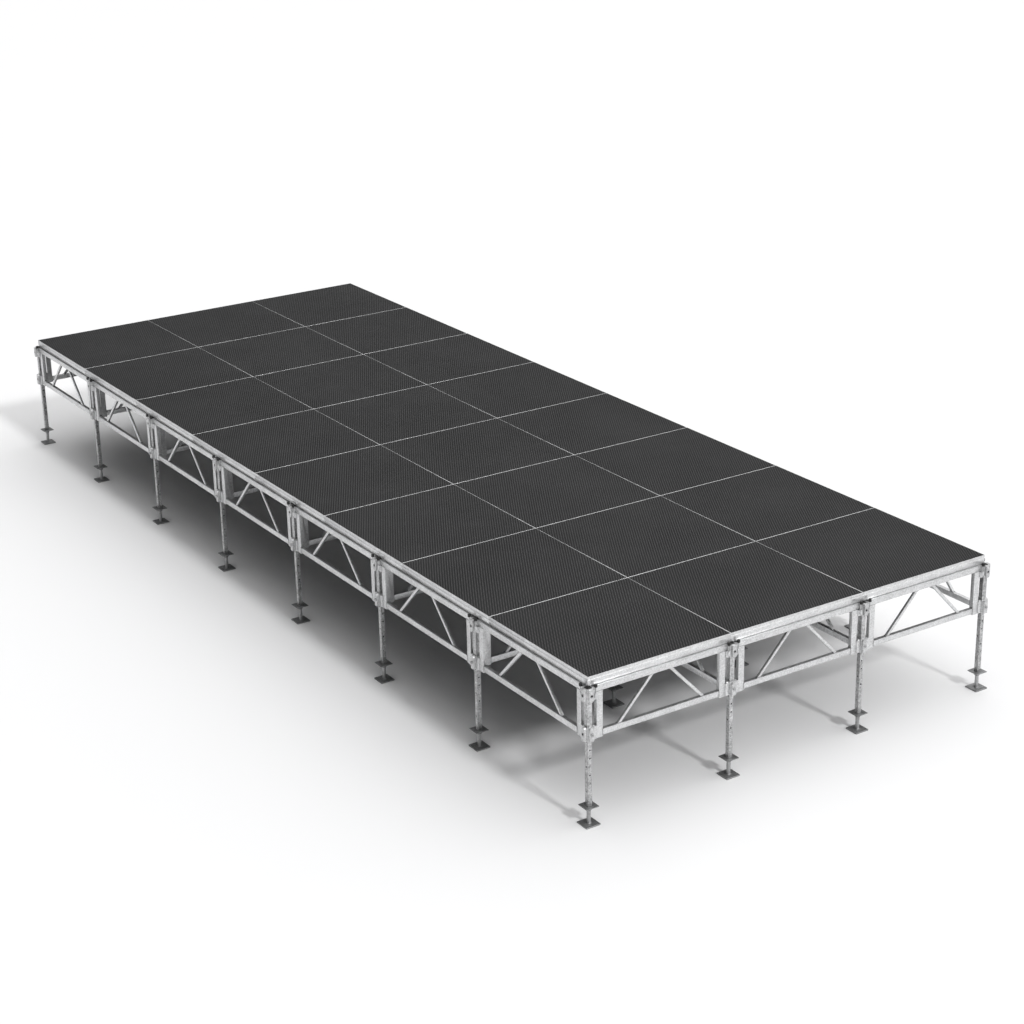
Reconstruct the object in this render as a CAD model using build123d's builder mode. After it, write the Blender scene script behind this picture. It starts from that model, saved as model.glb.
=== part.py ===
"""Stage riser platform: square deck panels on a grid of aluminium trusses and telescopic legs.

Millimetres, +Z up. The origin is on the floor under the middle of the deck, with X across the
stage and Y along it. The front edge is the one at -Y. Leg lines are lettered a to d from left to
right, and leg rows are numbered from the front to the back.
"""
from build123d import *
import os
from math import atan2, sin

os.makedirs("parts", exist_ok=True)

# ---------------------------------------------------------------- driving dimensions
deck_height = 1110.0            # floor to the walking surface
panel_width = 1220.0            # one panel across the stage, joint to joint
panel_length = 1220.0           # one panel along the stage, joint to joint
deck_columns = 3
deck_rows = 8
truss_bays = 7                  # bays between the legs along each side
panel_joint = 1.0               # open joint between two neighbouring panels

# deck panels
board_thickness = 18.0
board_clearance = 0.5           # board to the lip round it
frame_height = 70.0
frame_width = 30.0
frame_wall = 2.5
lip_thickness = 3.5             # lip that covers the board's edge
outer_wall = 4.5
crease_drop = 23.0              # crease in the outer face, below the top
crease_size = 4.0
crease_depth = 2.0
rabbet = 5.0                    # shadow groove along the bottom outer edge
mitre_gap = 0.3
rib_width = 20.0
rib_height = 40.0
rib_wall = 2.0
ribs_per_panel = 2

# trusses
truss_width = 30.0
truss_wall = 2.5
top_rail_height = 45.0
bottom_rail_height = 43.0
truss_drop = 383.0              # top of the top rail to the underside of the bottom rail
post_width = 50.0
post_from_leg = 60.0            # leg axis to the post's near face
post_tail = 12.0                # post below the bottom rail
rail_end_from_leg = 48.0        # leg axis to the end of the top rail
diagonal_size = 20.0
diagonal_wall = 2.0
weld_gap = 0.2                  # root gap of the welds
side_diagonal_foot = 310.0      # leg axis to the foot of a diagonal, in a side truss
side_diagonal_head = 100.0      # middle of the bay to its head
cross_diagonal_foot = 250.0
cross_diagonal_head = 80.0

# yokes at the ends of a truss, and their T-screws
yoke_plate = 6.0
yoke_web = 4.0
yoke_reach = 30.0               # leg axis to the tip of the cheeks
upper_yoke_height = 48.0
upper_yoke_drop = 2.0           # below the top of the post
lower_yoke_height = 95.0
lower_yoke_lift = 5.0           # above the foot of the post
lug_width = 12.0                # lug for the T-screw on the outside of a cheek
lug_length = 16.0
lug_height = 33.0
screw_from_leg = 42.0
screw_diameter = 8.0
screw_clearance = 0.4
screw_tip = 5.0                 # screw below its lug
edge_knob_gap = 46.0            # lug to knob along the deck's edge, clear of the deck frame
inner_knob_gap = 14.0           # lug to knob under the deck
knob_clearance = 0.5            # knob to the lobe beside it
knob_height = 22.0
knob_flutes = 8
flute_diameter = 5.0

# couplers on the legs
coupler_core = 54.0
coupler_reach = 45.0            # leg axis to the outer face of a lobe
lobe_width = 36.0
cheek_clearance = 0.5           # lobe to the cheeks of a yoke
upper_coupler_height = 95.0
upper_coupler_drop = 7.0        # below the deck frame
lower_coupler_height = 105.0
coupler_hole = 13.0
coupler_clearance = 0.2         # coupler to sleeve

# legs
sleeve_size = 40.0
leg_wall = 2.0
leg_clearance = 0.5             # leg tube to the inside of the sleeve
corner_radius = 2.0
cap_plate = 3.0
cap_plug = 8.0
cap_clearance = 0.2
leg_top_below_sleeve = 138.0
pin_hole = 12.0
pin_hole_pitch = 63.5
pin_holes = 10
pin_holes_above_bolt = 2
side_hole_every = 3             # each third hole goes through the side faces
foot_plate_size = 106.0
foot_plate_thickness = 6.0
foot_plate_top = 145.0          # above the floor
foot_plate_radius = 4.0
bush_height = 28.0
bush_top = 48.0
bush_bottom = 40.0

# clamp bolt in each lower coupler
bolt_diameter = 12.0
bolt_head = 22.0
bolt_head_height = 9.0
bolt_socket = 10.0              # across flats
bolt_socket_depth = 5.0
bolt_tip_gap = 0.4              # bolt to leg tube

# screw jacks
base_size = 120.0
base_thickness = 10.0
base_radius = 6.0
base_chamfer = 1.5
anchor_spacing = 90.0
anchor_hole = 9.0
spindle_diameter = 29.0
spindle_height = 320.0          # above the base plate
spindle_chamfer = 2.0
spindle_clearance = 0.6         # spindle to bush
weld_height = 6.0
weld_diameter = 42.0

# ---------------------------------------------------------------- places that follow
deck_width = deck_columns * panel_width
deck_length = deck_rows * panel_length
bay_length = deck_length / truss_bays
leg_x = [column * panel_width - deck_width / 2 for column in range(deck_columns + 1)]
leg_y = [row * bay_length - deck_length / 2 for row in range(truss_bays + 1)]
leg_spots = [(x, y, 0) for y in leg_y for x in leg_x]
column_x = [(left + right) / 2 for left, right in zip(leg_x, leg_x[1:])]
bay_y = [(near + far) / 2 for near, far in zip(leg_y, leg_y[1:])]
panel_y = [(row + 0.5) * panel_length - deck_length / 2 for row in range(deck_rows)]

board_bottom = deck_height - board_thickness
frame_bottom = deck_height - frame_height
top_rail_bottom = frame_bottom - top_rail_height
bottom_rail_bottom = frame_bottom - truss_drop
post_bottom = bottom_rail_bottom - post_tail
post_top = top_rail_bottom - weld_gap
lug_top = post_top - upper_yoke_drop
cheek_inside = lobe_width / 2 + cheek_clearance
cheek_outside = cheek_inside + yoke_plate
screw_offset = cheek_outside + lug_width / 2
knob_diameter = 2 * (screw_offset - lobe_width / 2 - knob_clearance)

sleeve_top = frame_bottom - upper_coupler_drop
sleeve_bottom = post_bottom
upper_hole_height = sleeve_top - upper_coupler_height / 2
bolt_height = sleeve_bottom + lower_coupler_height / 2
tube_size = sleeve_size - 2 * leg_wall - 2 * leg_clearance
tube_top = sleeve_top - leg_top_below_sleeve
spindle_bore = spindle_diameter + 2 * spindle_clearance


def box_tube(width, depth, wall, low, high, radius=0.0):
    """An upright rectangular tube with its middle on the Z axis."""
    with BuildPart() as tube:
        with BuildSketch(Plane.XY.offset(low)):
            if radius:
                RectangleRounded(width, depth, radius)
            else:
                Rectangle(width, depth)
            Rectangle(width - 2 * wall, depth - 2 * wall, mode=Mode.SUBTRACT)
        extrude(amount=high - low)
    return tube.part


def rail(length, height, middle_z):
    """A level rectangular tube along X with its middle over the origin."""
    with BuildPart() as tube:
        with BuildSketch(Plane.YZ.offset(-length / 2)):
            with Locations((0, middle_z)):
                Rectangle(truss_width, height)
                Rectangle(truss_width - 2 * truss_wall, height - 2 * truss_wall, mode=Mode.SUBTRACT)
        extrude(amount=length)
    return tube.part


def slanted_bar(foot_x, head_x, low, high, size):
    """A bar in the XZ plane whose ends are cut level, so that it seats on the rails."""
    slope = atan2(high - low, abs(head_x - foot_x))
    half = size / 2 / sin(slope)
    with BuildPart() as bar:
        with BuildSketch(Plane.XZ):
            Polygon(
                (foot_x - half, low),
                (foot_x + half, low),
                (head_x + half, high),
                (head_x - half, high),
                align=None,
            )
        extrude(amount=size / 2, both=True)
    return bar.part


def diagonal(foot_x, head_x):
    """A square tube from the bottom rail up to the top rail."""
    low = bottom_rail_bottom + bottom_rail_height + weld_gap
    high = top_rail_bottom - weld_gap
    with BuildPart() as tube:
        add(slanted_bar(foot_x, head_x, low, high, diagonal_size))
        add(
            slanted_bar(foot_x, head_x, low, high, diagonal_size - 2 * diagonal_wall),
            mode=Mode.SUBTRACT,
        )
    return tube.part


def truss_end(lug_side):
    """The post at the left end of a truss with its two yokes, seen from a leg axis at X = 0."""
    cheek_length = post_from_leg - yoke_reach
    cheek_y = cheek_inside + yoke_plate / 2
    with BuildPart() as end:
        with BuildSketch(Plane.XY.offset(post_bottom)):
            with Locations((post_from_leg + post_width / 2, 0)):
                Rectangle(post_width, truss_width)
                Rectangle(
                    post_width - 2 * truss_wall,
                    truss_width - 2 * truss_wall,
                    mode=Mode.SUBTRACT,
                )
        extrude(amount=post_top - post_bottom)
        yokes = (
            (lug_top - upper_yoke_height, upper_yoke_height),
            (post_bottom + lower_yoke_lift, lower_yoke_height),
        )
        for low, height in yokes:
            with BuildSketch(Plane.XY.offset(low)):
                with Locations(
                    (yoke_reach + cheek_length / 2, cheek_y),
                    (yoke_reach + cheek_length / 2, -cheek_y),
                ):
                    Rectangle(cheek_length, yoke_plate)
                with Locations((post_from_leg - yoke_web / 2, 0)):
                    Rectangle(yoke_web, 2 * cheek_outside)
            extrude(amount=height)
        with BuildSketch(Plane.XY.offset(lug_top - lug_height)):
            with Locations((screw_from_leg, lug_side * screw_offset)):
                Rectangle(lug_length, lug_width)
                Circle(screw_diameter / 2 + screw_clearance, mode=Mode.SUBTRACT)
        extrude(amount=lug_height)
    return end.part


def truss(length, foot, head, start_lug, end_lug):
    """One truss along X between two legs, its middle over the origin.

    start_lug and end_lug say on which side (+1 or -1, in Y) each end carries its T-screw.
    """
    top_middle = frame_bottom - top_rail_height / 2
    bottom_middle = bottom_rail_bottom + bottom_rail_height / 2
    inside_posts = length - 2 * (post_from_leg + post_width + weld_gap)
    with BuildPart() as frame:
        add(rail(length - 2 * rail_end_from_leg, top_rail_height, top_middle))
        add(rail(inside_posts, bottom_rail_height, bottom_middle))
        add(diagonal(foot - length / 2, -head))
        add(diagonal(length / 2 - foot, head))
        with Locations((-length / 2, 0)):
            add(truss_end(start_lug))
        with Locations(Location((length / 2, 0, 0), (0, 0, 180))):
            add(truss_end(-end_lug))
    return frame.part


def copies(shape, places):
    """The same shape at each place, as separate solids of one part."""
    with BuildPart() as group:
        with Locations(*places):
            add(shape, clean=False)
    return group.part


def save(part, name):
    part.label = name
    export_step(part, f"parts/{name}.step")


# ---------------------------------------------------------------- deck boards
board_size_x = panel_width - panel_joint - 2 * (lip_thickness + board_clearance)
board_size_y = panel_length - panel_joint - 2 * (lip_thickness + board_clearance)
for number, x in enumerate(column_x, 1):
    with BuildPart() as deck_boards:
        with BuildSketch(Plane.XY.offset(board_bottom)):
            with Locations(*[(x, y) for y in panel_y]):
                Rectangle(board_size_x, board_size_y)
        extrude(amount=board_thickness)
    save(deck_boards.part, f"deck_boards_column_{number}")


# ---------------------------------------------------------------- deck frames
def frame_side(length, outer_y):
    """One mitred side of a panel frame, along X, with its outer face at Y = -outer_y."""
    crease_z = deck_height - crease_drop
    cavity_top = board_bottom - frame_wall
    with BuildPart() as side:
        with BuildSketch(Plane.YZ.offset(-length / 2)):
            with BuildLine():
                Polyline(
                    (rabbet - outer_y, frame_bottom),
                    (frame_width - outer_y, frame_bottom),
                    (frame_width - outer_y, board_bottom),
                    (lip_thickness - outer_y, board_bottom),
                    (lip_thickness - outer_y, deck_height),
                    (-outer_y, deck_height),
                    (-outer_y, crease_z + crease_size / 2),
                    (crease_depth - outer_y, crease_z),
                    (-outer_y, crease_z - crease_size / 2),
                    (-outer_y, frame_bottom + rabbet),
                    (rabbet - outer_y, frame_bottom + rabbet),
                    close=True,
                )
            make_face()
            with BuildLine():
                Polyline(
                    (rabbet + outer_wall - outer_y, frame_bottom + frame_wall),
                    (frame_width - frame_wall - outer_y, frame_bottom + frame_wall),
                    (frame_width - frame_wall - outer_y, cavity_top),
                    (outer_wall - outer_y, cavity_top),
                    (outer_wall - outer_y, frame_bottom + rabbet + frame_wall),
                    (rabbet + outer_wall - outer_y, frame_bottom + rabbet + frame_wall),
                    close=True,
                )
            make_face(mode=Mode.SUBTRACT)
        extrude(amount=length)
        end_x = length / 2 - mitre_gap / 2
        with BuildSketch(Plane.XY.offset(frame_bottom)):
            Polygon(
                (-end_x, -outer_y),
                (end_x, -outer_y),
                (end_x - frame_width, frame_width - outer_y),
                (frame_width - end_x, frame_width - outer_y),
                align=None,
            )
        extrude(amount=frame_height, mode=Mode.INTERSECT)
    return side.part


frame_size_x = panel_width - panel_joint
frame_size_y = panel_length - panel_joint
long_side = frame_side(frame_size_x, frame_size_y / 2)
short_side = frame_side(frame_size_y, frame_size_x / 2)
with BuildPart() as panel_frame:
    with Locations(Location((0, 0, 0)), Location((0, 0, 0), (0, 0, 180))):
        add(long_side, clean=False)
    with Locations(Location((0, 0, 0), (0, 0, 90)), Location((0, 0, 0), (0, 0, 270))):
        add(short_side, clean=False)
for number, x in enumerate(column_x, 1):
    deck_frames = copies(panel_frame.part, [(x, y, 0) for y in panel_y])
    save(deck_frames, f"deck_frames_column_{number}")

# ---------------------------------------------------------------- ribs under the boards
rib_length = frame_size_x - 2 * (frame_width + weld_gap)
rib_spacing = frame_size_y / (ribs_per_panel + 1)
with BuildPart() as deck_rib:
    with BuildSketch(Plane.YZ.offset(-rib_length / 2)):
        with Locations((0, board_bottom - rib_height / 2)):
            Rectangle(rib_width, rib_height)
            Rectangle(rib_width - 2 * rib_wall, rib_height - 2 * rib_wall, mode=Mode.SUBTRACT)
    extrude(amount=rib_length)
rib_offsets = [
    (index - (ribs_per_panel - 1) / 2) * rib_spacing for index in range(ribs_per_panel)
]
rib_places = [(x, y + offset, 0) for x in column_x for y in panel_y for offset in rib_offsets]
save(copies(deck_rib.part, rib_places), "deck_ribs")

# ---------------------------------------------------------------- trusses along the stage
side_plain = {
    lugs: truss(bay_length, side_diagonal_foot, side_diagonal_head, *lugs)
    for lugs in ((1, 1), (-1, -1), (-1, 1))
}
line_lugs = [(1, 1)] + [(-1, 1)] * (deck_columns - 1) + [(-1, -1)]
line_letters = "abcdefgh"
for letter, x, lugs in zip(line_letters, leg_x, line_lugs):
    places = [Location((x, y, 0), (0, 0, 90)) for y in bay_y]
    save(copies(side_plain[lugs], places), f"side_trusses_line_{letter}")

# ---------------------------------------------------------------- trusses across the stage
cross_plain = {
    lugs: truss(panel_width, cross_diagonal_foot, cross_diagonal_head, *lugs)
    for lugs in ((1, 1), (-1, -1), (-1, 1))
}
row_lugs = [(-1, -1)] + [(-1, 1)] * (truss_bays - 1) + [(1, 1)]
for number, x in enumerate(column_x, 1):
    with BuildPart() as cross_trusses:
        for y, lugs in zip(leg_y, row_lugs):
            with Locations((x, y, 0)):
                add(cross_plain[lugs], clean=False)
    save(cross_trusses.part, f"cross_trusses_column_{number}")

# ---------------------------------------------------------------- T-screws of the yokes
edge_screws = []
inner_screws = []
for row, y in enumerate(leg_y):
    for line, x in enumerate(leg_x):
        on_left = line == 0
        on_right = line == deck_columns
        at_front = row == 0
        at_back = row == truss_bays
        if not on_right:
            side = 1 if at_back else -1
            spot = (x + screw_from_leg, y + side * screw_offset)
            (edge_screws if at_front or at_back else inner_screws).append(spot)
        if not on_left:
            side = -1 if at_front else 1
            spot = (x - screw_from_leg, y + side * screw_offset)
            (edge_screws if at_front or at_back else inner_screws).append(spot)
        if not at_back:
            side = -1 if on_left else 1
            spot = (x + side * screw_offset, y + screw_from_leg)
            (edge_screws if on_left or on_right else inner_screws).append(spot)
        if not at_front:
            side = 1 if on_right else -1
            spot = (x + side * screw_offset, y - screw_from_leg)
            (edge_screws if on_left or on_right else inner_screws).append(spot)

screw_bottom = lug_top - lug_height - screw_tip
with BuildPart() as truss_screws:
    for spots, gap in ((edge_screws, edge_knob_gap), (inner_screws, inner_knob_gap)):
        with BuildSketch(Plane.XY.offset(screw_bottom)):
            with Locations(*spots):
                Circle(screw_diameter / 2)
        extrude(amount=lug_top + gap - screw_bottom)
save(truss_screws.part, "truss_screws")

with BuildPart() as truss_knobs:
    for spots, gap in ((edge_screws, edge_knob_gap), (inner_screws, inner_knob_gap)):
        with BuildSketch(Plane.XY.offset(lug_top + gap)):
            with Locations(*spots):
                Circle(knob_diameter / 2)
                with PolarLocations(knob_diameter / 2, knob_flutes):
                    Circle(flute_diameter / 2, mode=Mode.SUBTRACT)
        extrude(amount=knob_height)
save(truss_knobs.part, "truss_knobs")


# ---------------------------------------------------------------- couplers on the sleeves
def coupler(low, height, hole_height, round_end):
    """A square collar with a lobe on each face; the lobes are round at one end."""
    bore = sleeve_size + 2 * coupler_clearance
    lobe_middle = low + height / 2
    straight = height - lobe_width / 2
    with BuildPart() as body:
        with BuildSketch(Plane.XY.offset(low)):
            RectangleRounded(coupler_core, coupler_core, corner_radius)
        extrude(amount=height)
        for plane in (Plane.XZ, Plane.YZ):
            with BuildSketch(plane):
                with Locations((0, lobe_middle - round_end * lobe_width / 4)):
                    Rectangle(lobe_width, straight)
                with Locations((0, lobe_middle + round_end * (height - lobe_width) / 2)):
                    Circle(lobe_width / 2)
            extrude(amount=coupler_reach, both=True)
        for plane in (Plane.XZ, Plane.YZ):
            with BuildSketch(plane):
                with Locations((0, hole_height)):
                    Circle(coupler_hole / 2)
            extrude(amount=coupler_reach, both=True, mode=Mode.SUBTRACT)
        with BuildSketch(Plane.XY.offset(low)):
            Rectangle(bore, bore)
        extrude(amount=height, mode=Mode.SUBTRACT)
    return body.part


upper_coupler = coupler(sleeve_top - upper_coupler_height, upper_coupler_height, upper_hole_height, -1)
lower_coupler = coupler(sleeve_bottom, lower_coupler_height, bolt_height, 1)
save(copies(upper_coupler, leg_spots), "upper_couplers")
save(copies(lower_coupler, leg_spots), "lower_couplers")

# ---------------------------------------------------------------- leg sleeves and their caps
with BuildPart() as leg_sleeve:
    add(box_tube(sleeve_size, sleeve_size, leg_wall, sleeve_bottom, sleeve_top, corner_radius))
    for plane in (Plane.XZ, Plane.YZ):
        with BuildSketch(plane):
            with Locations((0, bolt_height)):
                Circle(coupler_hole / 2)
        extrude(amount=sleeve_size, both=True, mode=Mode.SUBTRACT)
save(copies(leg_sleeve.part, leg_spots), "leg_sleeves")

plug_size = sleeve_size - 2 * leg_wall - 2 * cap_clearance
with BuildPart() as sleeve_cap:
    with BuildSketch(Plane.XY.offset(sleeve_top - cap_plug)):
        Rectangle(plug_size, plug_size)
    extrude(amount=cap_plug)
    with BuildSketch(Plane.XY.offset(sleeve_top)):
        RectangleRounded(sleeve_size, sleeve_size, corner_radius)
    extrude(amount=cap_plate)
save(copies(sleeve_cap.part, leg_spots), "sleeve_caps")

# ---------------------------------------------------------------- telescopic leg tubes
lowest_hole = bolt_height - (pin_holes - 1 - pin_holes_above_bolt) * pin_hole_pitch
hole_heights = [lowest_hole + index * pin_hole_pitch for index in range(pin_holes)]
with BuildPart() as leg_tube:
    add(box_tube(tube_size, tube_size, leg_wall, foot_plate_top, tube_top, corner_radius))
    for index, height in enumerate(hole_heights):
        across = index % side_hole_every == 0
        with BuildSketch(Plane.YZ if across else Plane.XZ):
            with Locations((0, height)):
                Circle(pin_hole / 2)
        extrude(amount=tube_size, both=True, mode=Mode.SUBTRACT)
save(copies(leg_tube.part, leg_spots), "leg_tubes")

with BuildPart() as foot_plate:
    with BuildSketch(Plane.XY.offset(foot_plate_top - foot_plate_thickness)):
        RectangleRounded(foot_plate_size, foot_plate_size, foot_plate_radius)
    extrude(amount=foot_plate_thickness)
    with BuildSketch(Plane.XY.offset(foot_plate_top - foot_plate_thickness)):
        Circle(bush_top / 2)
    with BuildSketch(Plane.XY.offset(foot_plate_top - foot_plate_thickness - bush_height)):
        Circle(bush_bottom / 2)
    loft()
    with BuildSketch(Plane.XY.offset(foot_plate_top)):
        Circle(spindle_bore / 2)
    extrude(amount=-foot_plate_thickness - bush_height, mode=Mode.SUBTRACT)
save(copies(foot_plate.part, leg_spots), "leg_foot_plates")

# ---------------------------------------------------------------- clamp bolts
bolt_tip = tube_size / 2 + bolt_tip_gap
with BuildPart() as clamp_bolt:
    with BuildSketch(Plane.YZ.offset(bolt_tip)):
        with Locations((0, bolt_height)):
            Circle(bolt_diameter / 2)
    extrude(amount=coupler_reach - bolt_tip)
    with BuildSketch(Plane.YZ.offset(coupler_reach)):
        with Locations((0, bolt_height)):
            Circle(bolt_head / 2)
    extrude(amount=bolt_head_height)
    with BuildSketch(Plane.YZ.offset(coupler_reach + bolt_head_height)):
        with Locations((0, bolt_height)):
            RegularPolygon(bolt_socket / 2, 6, major_radius=False)
    extrude(amount=-bolt_socket_depth, mode=Mode.SUBTRACT)
bolt_places = []
for row, y in enumerate(leg_y):
    for line, x in enumerate(leg_x):
        turn = -90
        if row == truss_bays:
            turn = 90
        elif row > 0 and line == 0:
            turn = 180
        elif row > 0 and line == deck_columns:
            turn = 0
        bolt_places.append(Location((x, y, 0), (0, 0, turn)))
save(copies(clamp_bolt.part, bolt_places), "clamp_bolts")

# ---------------------------------------------------------------- screw jacks
with BuildPart() as screw_jack:
    with BuildSketch():
        RectangleRounded(base_size, base_size, base_radius)
        with GridLocations(anchor_spacing, anchor_spacing, 2, 2):
            Circle(anchor_hole / 2, mode=Mode.SUBTRACT)
    extrude(amount=base_thickness)
    top_outline = screw_jack.faces().sort_by(Axis.Z)[-1].outer_wire().edges()
    chamfer(top_outline, base_chamfer)
    with BuildSketch(Plane.XY.offset(base_thickness)):
        Circle(weld_diameter / 2)
    with BuildSketch(Plane.XY.offset(base_thickness + weld_height)):
        Circle(spindle_diameter / 2)
    loft()
    with BuildSketch(Plane.XY.offset(base_thickness)):
        Circle(spindle_diameter / 2)
    extrude(amount=spindle_height)
    chamfer(screw_jack.faces().sort_by(Axis.Z)[-1].edges(), spindle_chamfer)
for row, y in enumerate(leg_y, 1):
    for letter, x in zip(line_letters, leg_x):
        save(copies(screw_jack.part, [(x, y, 0)]), f"jack_{letter}{row}")
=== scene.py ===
"""Looks of the stage riser platform: softened metalwork, jack threads, weld beads and finishes."""
from math import hypot, pi, radians, sqrt

import bmesh
import bpy
from mathutils import Matrix, Vector


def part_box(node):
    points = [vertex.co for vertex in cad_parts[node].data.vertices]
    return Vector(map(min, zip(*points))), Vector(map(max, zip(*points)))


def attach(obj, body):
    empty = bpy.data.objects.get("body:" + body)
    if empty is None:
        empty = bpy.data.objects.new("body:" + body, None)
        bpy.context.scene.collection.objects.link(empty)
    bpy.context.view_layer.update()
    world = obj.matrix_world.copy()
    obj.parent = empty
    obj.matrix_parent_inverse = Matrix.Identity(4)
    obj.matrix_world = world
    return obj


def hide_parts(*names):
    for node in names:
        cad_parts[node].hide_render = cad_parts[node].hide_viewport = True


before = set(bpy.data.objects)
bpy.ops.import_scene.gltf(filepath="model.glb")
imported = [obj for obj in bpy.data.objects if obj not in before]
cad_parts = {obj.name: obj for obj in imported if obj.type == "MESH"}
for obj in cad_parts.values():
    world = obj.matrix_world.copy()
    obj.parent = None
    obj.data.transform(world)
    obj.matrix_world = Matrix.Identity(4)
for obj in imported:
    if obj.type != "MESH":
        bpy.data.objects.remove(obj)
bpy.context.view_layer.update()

FRAME_BODY = "stage_frame"
LEG_BODY = "telescopic_legs"
MM = 0.001


# ------------------------------------------------------------------ nodes of a finish
class Finish:
    """A material under construction, with short calls for the nodes that it needs."""

    def __init__(self, name):
        self.material = bpy.data.materials.new(name)
        self.material.use_nodes = True
        self.tree = self.material.node_tree
        self.shader = self.tree.nodes["Principled BSDF"]
        self.place = self.add("ShaderNodeTexCoord").outputs["Object"]

    def add(self, kind, **settings):
        node = self.tree.nodes.new(kind)
        for key, value in settings.items():
            setattr(node, key, value)
        return node

    def feed(self, socket, value):
        if isinstance(value, bpy.types.NodeSocket):
            self.tree.links.new(value, socket)
        else:
            socket.default_value = value

    def maths(self, operation, first, second=0.0, third=0.0):
        node = self.add("ShaderNodeMath", operation=operation)
        for socket, value in zip(node.inputs, (first, second, third)):
            self.feed(socket, value)
        return node.outputs[0]

    def stretched(self, scale):
        node = self.add("ShaderNodeMapping")
        self.feed(node.inputs["Vector"], self.place)
        node.inputs["Scale"].default_value = scale
        return node.outputs[0]

    def noise(self, scale, detail=4.0, rough=0.55, where=None):
        node = self.add("ShaderNodeTexNoise")
        self.feed(node.inputs["Vector"], where or self.place)
        node.inputs["Scale"].default_value = scale
        node.inputs["Detail"].default_value = detail
        node.inputs["Roughness"].default_value = rough
        return node.outputs["Fac"]

    def span(self, value, low, high, new_low=0.0, new_high=1.0):
        node = self.add("ShaderNodeMapRange")
        for socket, item in zip(node.inputs, (value, low, high, new_low, new_high)):
            self.feed(socket, item)
        return node.outputs[0]

    def mix(self, amount, first, second):
        node = self.add("ShaderNodeMix", data_type="RGBA")
        self.feed(node.inputs[0], amount)
        self.feed(node.inputs[6], first)
        self.feed(node.inputs[7], second)
        return node.outputs[2]

    def bump(self, height, distance, strength=1.0):
        node = self.add("ShaderNodeBump")
        node.inputs["Distance"].default_value = distance
        node.inputs["Strength"].default_value = strength
        self.feed(node.inputs["Height"], height)
        self.feed(self.shader.inputs["Normal"], node.outputs[0])


def grey(level, tint=0.0):
    """A grey, a little cooler with a positive tint."""
    return (level * (1 - tint), level, level * (1 + tint), 1.0)


def metal(name, level, rough, grain=(1, 1, 1), spread=0.12, metallic=0.9, pits=0.25):
    """Bare metal: cloudy oxide, drawn grain along the long way of the tube, and dark pitting."""
    look = Finish(name)
    clouds = look.noise(9.0, 6.0, 0.7)
    mottle = look.noise(75.0, 3.0, 0.6)
    grain_lines = look.noise(160.0, 3.0, 0.6, look.stretched(grain))
    specks = look.noise(260.0, 3.0, 0.75)
    broad, fine = look.maths("MULTIPLY", clouds, 0.4), look.maths("MULTIPLY", mottle, 0.6)
    tone = look.maths("ADD", broad, fine)
    tone = look.span(tone, 0.36, 0.64)
    colour = look.mix(tone, grey(level * (1 - spread), 0.006), grey(level * (1 + spread), 0.006))
    colour = look.mix(look.span(grain_lines, 0.52, 0.7, 0.0, 0.35), colour, grey(level * 0.72))
    colour = look.mix(look.span(specks, 0.57, 0.68, 0.0, pits), colour, grey(level * 0.3))
    look.feed(look.shader.inputs["Base Color"], colour)
    dull = look.span(mottle, 0.3, 0.7, rough - 0.08, rough + 0.12)
    look.feed(look.shader.inputs["Roughness"], dull)
    look.shader.inputs["Metallic"].default_value = metallic
    look.bump(look.maths("ADD", grain_lines, look.maths("MULTIPLY", specks, 0.8)), 0.3 * MM, 0.5)
    return look.material


def plated_steel(name, level, rough):
    """Dull zinc plating: spangled patches, darker scuffs and small stains."""
    look = Finish(name)
    spangle = look.add("ShaderNodeTexVoronoi")
    look.feed(spangle.inputs["Vector"], look.place)
    spangle.inputs["Scale"].default_value = 110.0
    patches = look.span(spangle.outputs["Distance"], 0.0, 0.8)
    clouds = look.noise(16.0, 6.0, 0.65)
    scuffs = look.span(look.noise(60.0, 8.0, 0.75), 0.56, 0.68)
    colour = look.mix(patches, grey(level * 0.86, 0.01), grey(level * 1.12, 0.01))
    colour = look.mix(look.span(clouds, 0.4, 0.65, 0.0, 0.5), colour, grey(level * 0.6))
    colour = look.mix(look.maths("MULTIPLY", scuffs, 0.45), colour, grey(level * 1.7))
    look.feed(look.shader.inputs["Base Color"], colour)
    dull = look.span(clouds, 0.3, 0.7, rough - 0.1, rough + 0.12)
    look.feed(look.shader.inputs["Roughness"], dull)
    look.shader.inputs["Metallic"].default_value = 0.75
    look.bump(look.noise(180.0, 5.0, 0.7), 0.4 * MM, 0.5)
    return look.material


def moulded(name, level, rough):
    """Black moulded plastic with a fine spark-eroded texture and dusty patches."""
    look = Finish(name)
    dust = look.span(look.noise(45.0, 5.0), 0.45, 0.75)
    look.feed(look.shader.inputs["Base Color"], look.mix(dust, grey(level), grey(level * 2.2)))
    look.feed(look.shader.inputs["Roughness"], look.span(dust, 0, 1, rough, rough + 0.15))
    look.bump(look.noise(900.0, 2.0), 0.1 * MM, 0.6)
    return look.material


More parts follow.
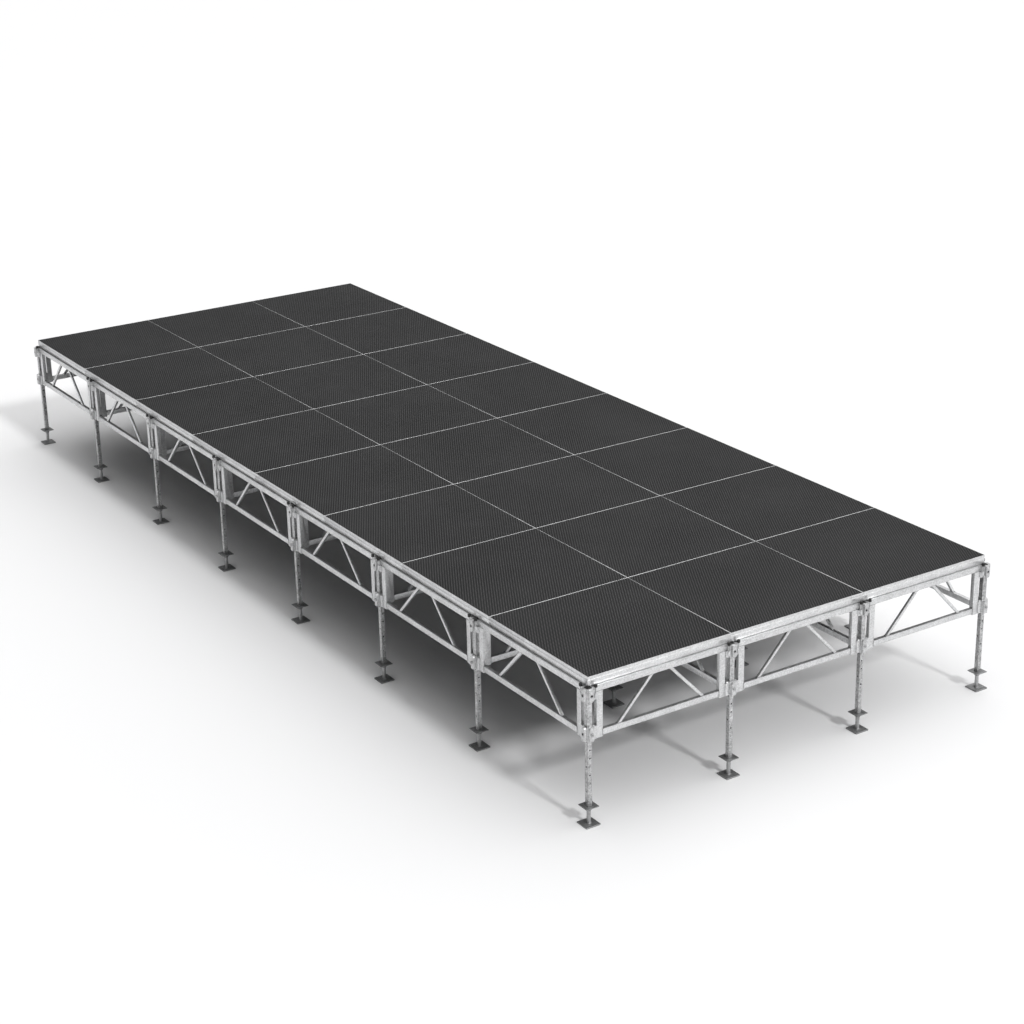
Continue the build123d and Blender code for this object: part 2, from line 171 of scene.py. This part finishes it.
def anti_slip_film(name):
    """Phenolic film pressed with a triangular grid of round studs, scuffed by use."""
    pitch = 22.0 * MM
    stud = 5.0 * MM
    soft = 1.0 * MM
    row = pitch * sqrt(3) / 2
    look = Finish(name)
    split = look.add("ShaderNodeSeparateXYZ")
    look.feed(split.inputs[0], look.place)
    near_x = look.maths("PINGPONG", split.outputs["X"], pitch / 2)
    near_y = look.maths("PINGPONG", split.outputs["Y"], row)

    def length(x, y):
        squares = look.maths("POWER", x, 2.0), look.maths("POWER", y, 2.0)
        return look.maths("SQRT", look.maths("ADD", *squares))

    other = length(look.maths("SUBTRACT", pitch / 2, near_x), look.maths("SUBTRACT", row, near_y))
    away = look.maths("MINIMUM", length(near_x, near_y), other)
    studs = look.span(away, stud + soft, stud - soft)
    walked = look.span(look.noise(1.3, 6.0, 0.6), 0.38, 0.66)
    dust = look.span(look.noise(7.0, 8.0, 0.7), 0.5, 0.8)
    base = look.mix(walked, (0.008, 0.008, 0.0082, 1), (0.014, 0.014, 0.0142, 1))
    colour = look.mix(look.maths("MULTIPLY", studs, 0.62), base, (0.15, 0.15, 0.153, 1))
    colour = look.mix(look.maths("MULTIPLY", dust, 0.1), colour, (0.12, 0.12, 0.12, 1))
    marks = look.noise(2.6, 9.0, 0.86, look.stretched((1.0, 2.2, 1.0)))
    colour = look.mix(look.span(marks, 0.715, 0.76, 0.0, 0.6), colour, (0.42, 0.42, 0.42, 1))
    look.feed(look.shader.inputs["Base Color"], colour)
    look.feed(look.shader.inputs["Roughness"], look.span(dust, 0, 1, 0.62, 0.8))
    look.shader.inputs["Specular IOR Level"].default_value = 0.22
    look.bump(studs, 0.9 * MM, 0.8)
    return look.material


FINISHES = {
    "deck_board": anti_slip_film("anti_slip_film"),
    "deck_edge": metal("extruded_edge", 0.74, 0.38, spread=0.2, pits=0.5),
    "along": metal("drawn_tube_along", 0.7, 0.4, grain=(1, 0.04, 1), spread=0.22, pits=0.55),
    "across": metal("drawn_tube_across", 0.7, 0.4, grain=(0.04, 1, 1), spread=0.22, pits=0.55),
    "upright": metal("drawn_tube_upright", 0.52, 0.44, grain=(1, 1, 0.04), spread=0.5, pits=0.8),
    "cast": metal("tumbled_casting", 0.62, 0.46, spread=0.28, pits=0.65),
    "weld": metal("weld_bead", 0.42, 0.36, spread=0.25, pits=0.6),
    # painted shade: a near-black finish, built from the plastic one, stands in for the shade inside
    # tube bores and coupler holes
    "inside": moulded("unlit_bore", 0.006, 0.8),
    "plate": plated_steel("zinc_plate", 0.30, 0.45),
    "screw": plated_steel("zinc_screw", 0.5, 0.36),
    "knob": moulded("knob_plastic", 0.012, 0.45),
}


# ------------------------------------------------------------------ where things stand
JACKS = sorted(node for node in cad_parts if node.startswith("jack_"))


def middle(node):
    low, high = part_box(node)
    return (Vector(low) + Vector(high)) / 2


LEG_AXES = [tuple(middle(node).xy) for node in JACKS]
TUBE_BORE = 17.1 * MM            # a leg tube's bore and the walls of its pin holes
SLEEVE_BORE = 18.4 * MM          # a sleeve's inner half width, and a little more
HOLE_RADIUS = 6.5 * MM           # the holes in the lobes of the couplers
UPPER_HOLE = middle("upper_couplers").z
LOWER_HOLE = middle("lower_couplers").z

# ------------------------------------------------------------------ making pieces
SAME_POINT = 0.01 * MM           # corners closer than this are merged
FLAT_ANGLE = radians(0.5)        # faces that meet flatter than this are joined
BEVEL_ANGLE = radians(32)        # edges sharper than this are rounded
CREASE_ANGLE = radians(38)       # edges sharper than this stay creased in the shading
HOLE_WALL_REACH = 0.6 * MM       # past the hole's radius, where its wall's facets still count


def piece_from(mesh_data, name, body, finish):
    """Turns a bmesh into a finished piece that rides on its body."""
    mesh = bpy.data.meshes.new(name)
    mesh_data.to_mesh(mesh)
    mesh_data.free()
    for face in mesh.polygons:
        face.use_smooth = True
    mesh.set_sharp_from_angle(angle=CREASE_ANGLE)
    mesh.materials.append(FINISHES[finish])
    piece = bpy.data.objects.new(name, mesh)
    bpy.context.collection.objects.link(piece)
    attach(piece, body)
    return piece


def softened(
    node, body, finish, width,
    segments=2, shortest=0.0, dark_within=0.0, hole_height=None,
):
    """The CAD node with its sharp edges rounded over.

    Edges under the length of shortest, such as the rims of small holes, stay sharp.
    dark_within is a half width about a leg's axis: the faces inside it get the near-black painted
    shade of a tube's shaded bore.
    hole_height is the height of the lobe holes, whose walls get that painted shade as well.
    """
    shape = bmesh.new()
    shape.from_mesh(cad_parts[node].data)
    bmesh.ops.remove_doubles(shape, verts=shape.verts, dist=SAME_POINT)
    bmesh.ops.dissolve_limit(
        shape, angle_limit=FLAT_ANGLE, verts=shape.verts, edges=shape.edges,
        use_dissolve_boundaries=False,
    )
    sharp = [
        edge for edge in shape.edges
        if len(edge.link_faces) == 2 and edge.calc_face_angle() > BEVEL_ANGLE
        and edge.calc_length() > shortest
    ]
    bmesh.ops.bevel(
        shape, geom=sharp, offset=width, offset_type="OFFSET", segments=segments,
        profile=0.5, affect="EDGES", clamp_overlap=True, material=-1,
    )
    # painted shade: faces in a bore or a lobe hole take slot 1, a near-black stand-in for the shade
    # in there
    if dark_within or hole_height:
        for face in shape.faces:
            place = face.calc_center_median()
            axis = min(LEG_AXES, key=lambda leg: abs(leg[0] - place.x) + abs(leg[1] - place.y))
            away = (abs(place.x - axis[0]), abs(place.y - axis[1]))
            along = 0 if away[0] > away[1] else 1
            if max(away) < dark_within:
                face.material_index = 1
            elif hole_height and abs(face.normal[along]) < 0.5:
                if hypot(min(away), place.z - hole_height) < HOLE_RADIUS + HOLE_WALL_REACH:
                    face.material_index = 1
    piece = piece_from(shape, node + "_finished", body, finish)
    # slot 1 holds the near-black painted shade
    if dark_within or hole_height:
        piece.data.materials.append(FINISHES["inside"])
    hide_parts(node)
    return piece


def dress(node, finish):
    """Gives a CAD node that stays visible its finish."""
    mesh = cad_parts[node].data
    mesh.materials.clear()
    mesh.materials.append(FINISHES[finish])


TURN_STEPS = 20                  # facets round a turned shape
RING_SOFTNESS = 0.25             # a ring's chamfer, as a share of its thickness
BEAD_ROUNDING = 0.42             # a bead's rounding, as a share of its thinnest side


def lathe(shape, outline, centre):
    """Turns an outline of (radius, height) about an upright axis."""
    verts = [shape.verts.new((centre[0] + radius, centre[1], height)) for radius, height in outline]
    edges = [shape.edges.new(pair) for pair in zip(verts, verts[1:] + verts[:1])]
    bmesh.ops.spin(
        shape, geom=verts + edges, cent=(centre[0], centre[1], 0), axis=(0, 0, 1),
        angle=2 * pi, steps=TURN_STEPS, use_merge=True, use_duplicate=False,
    )


def stamped(pattern, places):
    """One shape made of copies of a small pattern, a copy at each place."""
    pattern.verts.index_update()
    corners = [vert.co.copy() for vert in pattern.verts]
    faces = [[vert.index for vert in face.verts] for face in pattern.faces]
    pattern.free()
    mesh = bpy.data.meshes.new("stamped")
    mesh.from_pydata(
        [place @ corner for place in places for corner in corners], [],
        [
            [index + copy * len(corners) for index in face]
            for copy in range(len(places)) for face in faces
        ],
    )
    shape = bmesh.new()
    shape.from_mesh(mesh)
    bpy.data.meshes.remove(mesh)
    return shape


def bead(shape, centre, size):
    """A weld bead: a thin rounded block that wraps the end of a tube."""
    made = bmesh.ops.create_cube(
        shape, size=1.0, matrix=Matrix.Translation(centre) @ Matrix.Diagonal((*size, 1))
    )
    bmesh.ops.bevel(
        shape, geom=list({edge for vert in made["verts"] for edge in vert.link_edges}),
        offset=min(size) * BEAD_ROUNDING, offset_type="OFFSET", segments=2,
        profile=0.5, affect="EDGES", clamp_overlap=True, material=-1,
    )


def washer(inner, outer, thickness):
    """A raised ring round a hole along X."""
    shape = bmesh.new()
    soft = RING_SOFTNESS * thickness
    outline = [
        (0, inner), (thickness - soft, inner), (thickness, inner + soft),
        (thickness, outer - soft), (thickness - soft, outer), (0, outer),
    ]
    verts = [shape.verts.new((along, radius, 0)) for along, radius in outline]
    edges = [shape.edges.new(pair) for pair in zip(verts, verts[1:] + verts[:1])]
    bmesh.ops.spin(
        shape, geom=verts + edges, cent=(0, 0, 0), axis=(1, 0, 0),
        angle=2 * pi, steps=TURN_STEPS, use_merge=True, use_duplicate=False,
    )
    bmesh.ops.recalc_face_normals(shape, faces=shape.faces)
    return shape


# ------------------------------------------------------------------ deck
for number in (1, 2, 3):
    dress(f"deck_boards_column_{number}", "deck_board")
    softened(f"deck_frames_column_{number}", FRAME_BODY, "deck_edge", 0.6 * MM)
softened("deck_ribs", FRAME_BODY, "across", 1.2 * MM)

# ------------------------------------------------------------------ trusses
for letter in "abcd":
    softened(f"side_trusses_line_{letter}", FRAME_BODY, "along", 1.4 * MM)
for number in (1, 2, 3):
    softened(f"cross_trusses_column_{number}", FRAME_BODY, "across", 1.4 * MM)
softened("truss_screws", FRAME_BODY, "screw", 0.8 * MM)
softened("truss_knobs", FRAME_BODY, "knob", 1.6 * MM, segments=1)

# ------------------------------------------------------------------ legs
# the walls of the lobe holes get the near-black painted shade
softened("upper_couplers", FRAME_BODY, "cast", 1.6 * MM, hole_height=UPPER_HOLE)
softened("lower_couplers", FRAME_BODY, "cast", 1.6 * MM, hole_height=LOWER_HOLE)
softened("clamp_bolts", FRAME_BODY, "screw", 1.2 * MM)
softened("sleeve_caps", FRAME_BODY, "knob", 0.8 * MM)
# the bores of sleeves and tubes get the near-black painted shade
softened("leg_sleeves", FRAME_BODY, "upright", 0.4 * MM, dark_within=SLEEVE_BORE)
softened(
    "leg_tubes", LEG_BODY, "upright", 0.5 * MM,
    shortest=5 * MM, dark_within=TUBE_BORE,
)
softened("leg_foot_plates", LEG_BODY, "plate", 1.4 * MM)

# ------------------------------------------------------------------ rings round the lobe holes
LOBE_REACH = 45.0 * MM           # leg axis to the face of a lobe
RING_GAP = 0.8 * MM              # hole's edge to the ring
RING_RADIUS = 11.5 * MM
RING_HEIGHT = 2.0 * MM
rings = stamped(washer(HOLE_RADIUS + RING_GAP, RING_RADIUS, RING_HEIGHT), [
    Matrix.Translation((x, y, height)) @ Matrix.Rotation(quarter * pi / 2, 4, "Z")
    @ Matrix.Translation((LOBE_REACH, 0, 0))
    for x, y in LEG_AXES for quarter in range(4) for height in (UPPER_HOLE, LOWER_HOLE)
])
piece_from(rings, "coupler_hole_rings", FRAME_BODY, "plate")

# ------------------------------------------------------------------ weld beads of the trusses
TUBE_WIDTH = 30.0 * MM           # rails and posts, across the truss
BAR_WIDTH = 20.0 * MM            # diagonals
SLANT = 1.25                     # a diagonal's cut end is longer than its width by this factor
BEAD = 5.0 * MM
POST_WIDTH = 50.0 * MM
POST_FAR_FACE = 110.0 * MM       # leg axis to the side of the post that faces the bay
SIDE_FOOT = 310.0 * MM           # leg axis to the foot of a diagonal
SIDE_HEAD = 100.0 * MM           # middle of the bay to its head
CROSS_FOOT = 250.0 * MM
CROSS_HEAD = 80.0 * MM
RAIL_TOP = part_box("side_trusses_line_a")[1][2]
TOP_RAIL_UNDERSIDE = RAIL_TOP - 45.0 * MM
BOTTOM_RAIL_TOP = RAIL_TOP - 340.0 * MM
BOTTOM_RAIL_UNDERSIDE = RAIL_TOP - 383.0 * MM


def truss_beads(length, foot, head):
    """The beads of a truss along X from one leg axis: four at the posts, four at the diagonals."""
    shape = bmesh.new()
    rail_height = BOTTOM_RAIL_TOP - BOTTOM_RAIL_UNDERSIDE
    rail_middle = (BOTTOM_RAIL_TOP + BOTTOM_RAIL_UNDERSIDE) / 2
    slant = BAR_WIDTH * SLANT + BEAD
    for side in (-1, 1):
        face = length / 2 + side * (length / 2 - POST_FAR_FACE)
        post = length / 2 + side * (length / 2 - POST_FAR_FACE + POST_WIDTH / 2)
        low = length / 2 + side * (length / 2 - foot)
        high = length / 2 + side * head
        bead(shape, (face, 0, rail_middle), (BEAD, TUBE_WIDTH + BEAD, rail_height + BEAD))
        bead(shape, (post, 0, TOP_RAIL_UNDERSIDE), (POST_WIDTH + BEAD, TUBE_WIDTH + BEAD, BEAD))
        bead(shape, (low, 0, BOTTOM_RAIL_TOP + BEAD / 2), (slant, BAR_WIDTH + BEAD, BEAD))
        bead(shape, (high, 0, TOP_RAIL_UNDERSIDE - BEAD / 2), (slant, BAR_WIDTH + BEAD, BEAD))
    return shape


# the legs' axes, rounded to a tenth of a millimetre, so that each line counts once
columns = sorted({round(x, 4) for x, y in LEG_AXES})
rows = sorted({round(y, 4) for x, y in LEG_AXES})
side_beads = stamped(truss_beads(rows[1] - rows[0], SIDE_FOOT, SIDE_HEAD), [
    Matrix.Translation((x, y, 0)) @ Matrix.Rotation(pi / 2, 4, "Z")
    for x in columns for y in rows[:-1]
])
piece_from(side_beads, "side_truss_weld_beads", FRAME_BODY, "weld")
cross_beads = stamped(truss_beads(columns[1] - columns[0], CROSS_FOOT, CROSS_HEAD), [
    Matrix.Translation((x, y, 0)) for x in columns[:-1] for y in rows
])
piece_from(cross_beads, "cross_truss_weld_beads", FRAME_BODY, "weld")

# ------------------------------------------------------------------ screw jacks
THREAD_PITCH = 6.0 * MM
THREAD_BITE = 1.0 * MM           # the thread's inner wall, inside the spindle
THREAD_ROOT = 14.45 * MM
THREAD_CREST = 15.0 * MM
PLATE_TOP = 10.0 * MM
THREAD_START = 8.0 * MM          # above the base plate
THREAD_END = 6.0 * MM            # below the top of the spindle
for node in JACKS:
    softened(node, node, "plate", 0.9 * MM)
    low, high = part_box(node)
    centre = middle(node)
    start, end = low[2] + PLATE_TOP + THREAD_START, high[2] - THREAD_END
    turns = int((end - start) / THREAD_PITCH)
    outline = [(THREAD_ROOT - THREAD_BITE, start)]
    for turn in range(turns):
        base = start + turn * THREAD_PITCH
        outline += [
            (THREAD_ROOT, base),
            (THREAD_CREST, base + 0.3 * THREAD_PITCH),
            (THREAD_CREST, base + 0.6 * THREAD_PITCH),
            (THREAD_ROOT, base + 0.9 * THREAD_PITCH),
        ]
    outline.append((THREAD_ROOT - THREAD_BITE, outline[-1][1]))
    thread = bmesh.new()
    lathe(thread, outline, centre)
    bmesh.ops.recalc_face_normals(thread, faces=thread.faces)
    piece_from(thread, node + "_thread", node, "screw")

# ------------------------------------------------------------------ floor, light and camera
FLOOR_SIZE = 400.0
floor_shape = bmesh.new()
bmesh.ops.create_grid(floor_shape, x_segments=1, y_segments=1, size=FLOOR_SIZE / 2)
floor_mesh = bpy.data.meshes.new("floor")
floor_shape.to_mesh(floor_mesh)
floor_shape.free()
floor = bpy.data.objects.new("floor", floor_mesh)
bpy.context.collection.objects.link(floor)
paper = bpy.data.materials.new("pale_floor")
paper.use_nodes = True
paper_shader = paper.node_tree.nodes["Principled BSDF"]
paper_shader.inputs["Base Color"].default_value = (0.86, 0.86, 0.865, 1)
paper_shader.inputs["Roughness"].default_value = 0.9
floor_mesh.materials.append(paper)

world = bpy.data.worlds.new("studio")
world.use_nodes = True
sky = world.node_tree.nodes["Background"]
ways = world.node_tree.nodes.new("ShaderNodeTexCoord")
height = world.node_tree.nodes.new("ShaderNodeSeparateXYZ")
fade = world.node_tree.nodes.new("ShaderNodeMapRange")
world.node_tree.links.new(ways.outputs["Generated"], height.inputs[0])
world.node_tree.links.new(height.outputs["Z"], fade.inputs[0])
HORIZON_STRENGTH = 0.3
ZENITH_STRENGTH = 1.6
BACKDROP_STRENGTH = 19.0         # about white, with the dark grey that a new world has
FULL_HEIGHT = 0.75               # the sky's height, from 0 to 1, where it reaches its full strength
for socket, value in zip(
    list(fade.inputs)[1:5], (0.0, FULL_HEIGHT, HORIZON_STRENGTH, ZENITH_STRENGTH)
):
    socket.default_value = value
# white where the camera itself looks past the floor, which lights nothing
rays = world.node_tree.nodes.new("ShaderNodeLightPath")
backdrop = world.node_tree.nodes.new("ShaderNodeMath")
backdrop.operation = "MULTIPLY_ADD"
backdrop.inputs[1].default_value = BACKDROP_STRENGTH
world.node_tree.links.new(rays.outputs["Is Camera Ray"], backdrop.inputs[0])
world.node_tree.links.new(fade.outputs[0], backdrop.inputs[2])
world.node_tree.links.new(backdrop.outputs[0], sky.inputs["Strength"])
bpy.context.scene.world = world


def sun(name, towards, energy, softness):
    """A distant light that shines from a direction, with the angle that it fills in the sky."""
    light = bpy.data.objects.new(name, bpy.data.lights.new(name, "SUN"))
    light.data.energy = energy
    light.data.angle = radians(softness)
    light.rotation_euler = Vector(towards).to_track_quat("Z", "Y").to_euler()
    bpy.context.collection.objects.link(light)


sun("front_light", (0.05, -0.81, 0.6), 1.5, 7)
sun("side_light", (0.38, -0.15, 0.9), 2.9, 110)

CAMERA_PLACE = (-9.247, -15.448, 7.317)
CAMERA_HEADING = radians(32.912)
CAMERA_PITCH = radians(21.235)
CAMERA_ROLL = radians(-1.119)
camera = bpy.data.objects.new("camera", bpy.data.cameras.new("camera"))
camera.data.lens = 75.24
camera.data.sensor_width = 36.0
camera.data.clip_end = 1000.0
camera.location = CAMERA_PLACE
turn = Matrix.Rotation(-CAMERA_HEADING, 3, "Z") @ Matrix.Rotation(pi / 2 - CAMERA_PITCH, 3, "X")
camera.rotation_euler = (turn @ Matrix.Rotation(CAMERA_ROLL, 3, "Z")).to_euler()
bpy.context.collection.objects.link(camera)
bpy.context.scene.camera = camera
bpy.context.scene.view_settings.view_transform = "Standard"
